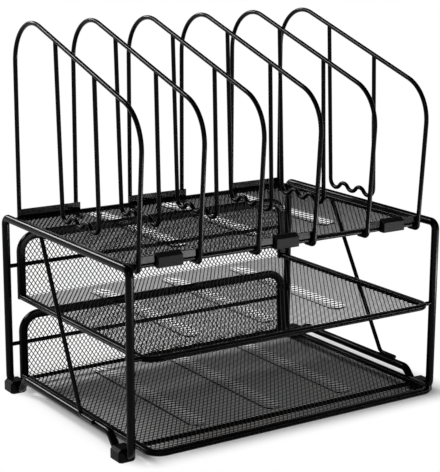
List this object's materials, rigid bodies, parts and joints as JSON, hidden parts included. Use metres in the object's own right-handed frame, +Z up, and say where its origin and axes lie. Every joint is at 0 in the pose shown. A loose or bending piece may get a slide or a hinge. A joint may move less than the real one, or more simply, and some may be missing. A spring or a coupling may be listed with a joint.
{
  "type": "desk organizer with wire dividers and a sliding tray",
  "caption": "Black steel desk organizer: upright wire dividers on a mesh shelf, a fixed mesh tray, and a mesh drawer that slides forward.",
  "frame": {"origin": "on the floor, in the middle of the footprint's bounding box", "axes": "+Z up; +X to the right seen from the front; -Y is the open front, where the drawer slides out"},
  "size_m": [0.348, 0.2587, 0.3554],
  "materials": {
    "coated_steel": "semi-gloss black powder coat",
    "coated_mesh": "expanded steel mesh, black powder coat",
    "foot_plastic": "black moulded plastic, satin",
    "clip_plastic": "moulded black plastic"
  },
  "bodies": {
    "frame": {"back_wire_lower": "coated_steel", "back_wire_upper": "coated_steel", "base_wire_front": "coated_steel", "base_wire_rear": "coated_steel", "brace_left": "coated_steel", "brace_right": "coated_steel", "divider_front_bar_1": "coated_steel", "divider_front_bar_2": "coated_steel", "divider_front_bar_3": "coated_steel", "divider_inner_wire_1": "coated_steel", "divider_inner_wire_2": "coated_steel", "divider_inner_wire_3": "coated_steel", "divider_inner_wire_4": "coated_steel", "divider_inner_wire_5": "coated_steel", "divider_inner_wire_6": "coated_steel", "divider_loop_1": "coated_steel", "divider_loop_2": "coated_steel", "divider_loop_3": "coated_steel", "divider_loop_4": "coated_steel", "divider_loop_5": "coated_steel", "divider_loop_6": "coated_steel", "divider_rear_bar_1": "coated_steel", "divider_rear_bar_2": "coated_steel", "divider_rear_bar_3": "coated_steel", "foot_front_left": "foot_plastic", "foot_front_right": "foot_plastic", "foot_rear_left": "foot_plastic", "foot_rear_right": "foot_plastic", "middle_tray_back_rim": "coated_steel", "middle_tray_floor_rim": "coated_steel", "middle_tray_mesh": "coated_mesh", "shelf_clip_1": "clip_plastic", "shelf_clip_2": "clip_plastic", "shelf_clip_3": "clip_plastic", "shelf_mesh": "coated_mesh", "shelf_rim": "coated_steel", "side_frame_left": "coated_steel", "side_frame_right": "coated_steel", "tray_lug_left": "coated_steel", "tray_lug_right": "coated_steel"},
    "drawer": {"drawer_back_rim": "coated_steel", "drawer_floor_rim": "coated_steel", "drawer_mesh": "coated_mesh"}
  },
  "joints": [
    {"name": "drawer_slide", "type": "slide", "parent": "frame", "child": "drawer", "axis": [0, -1, 0], "range_m": [0, 0.16]}
  ]
}
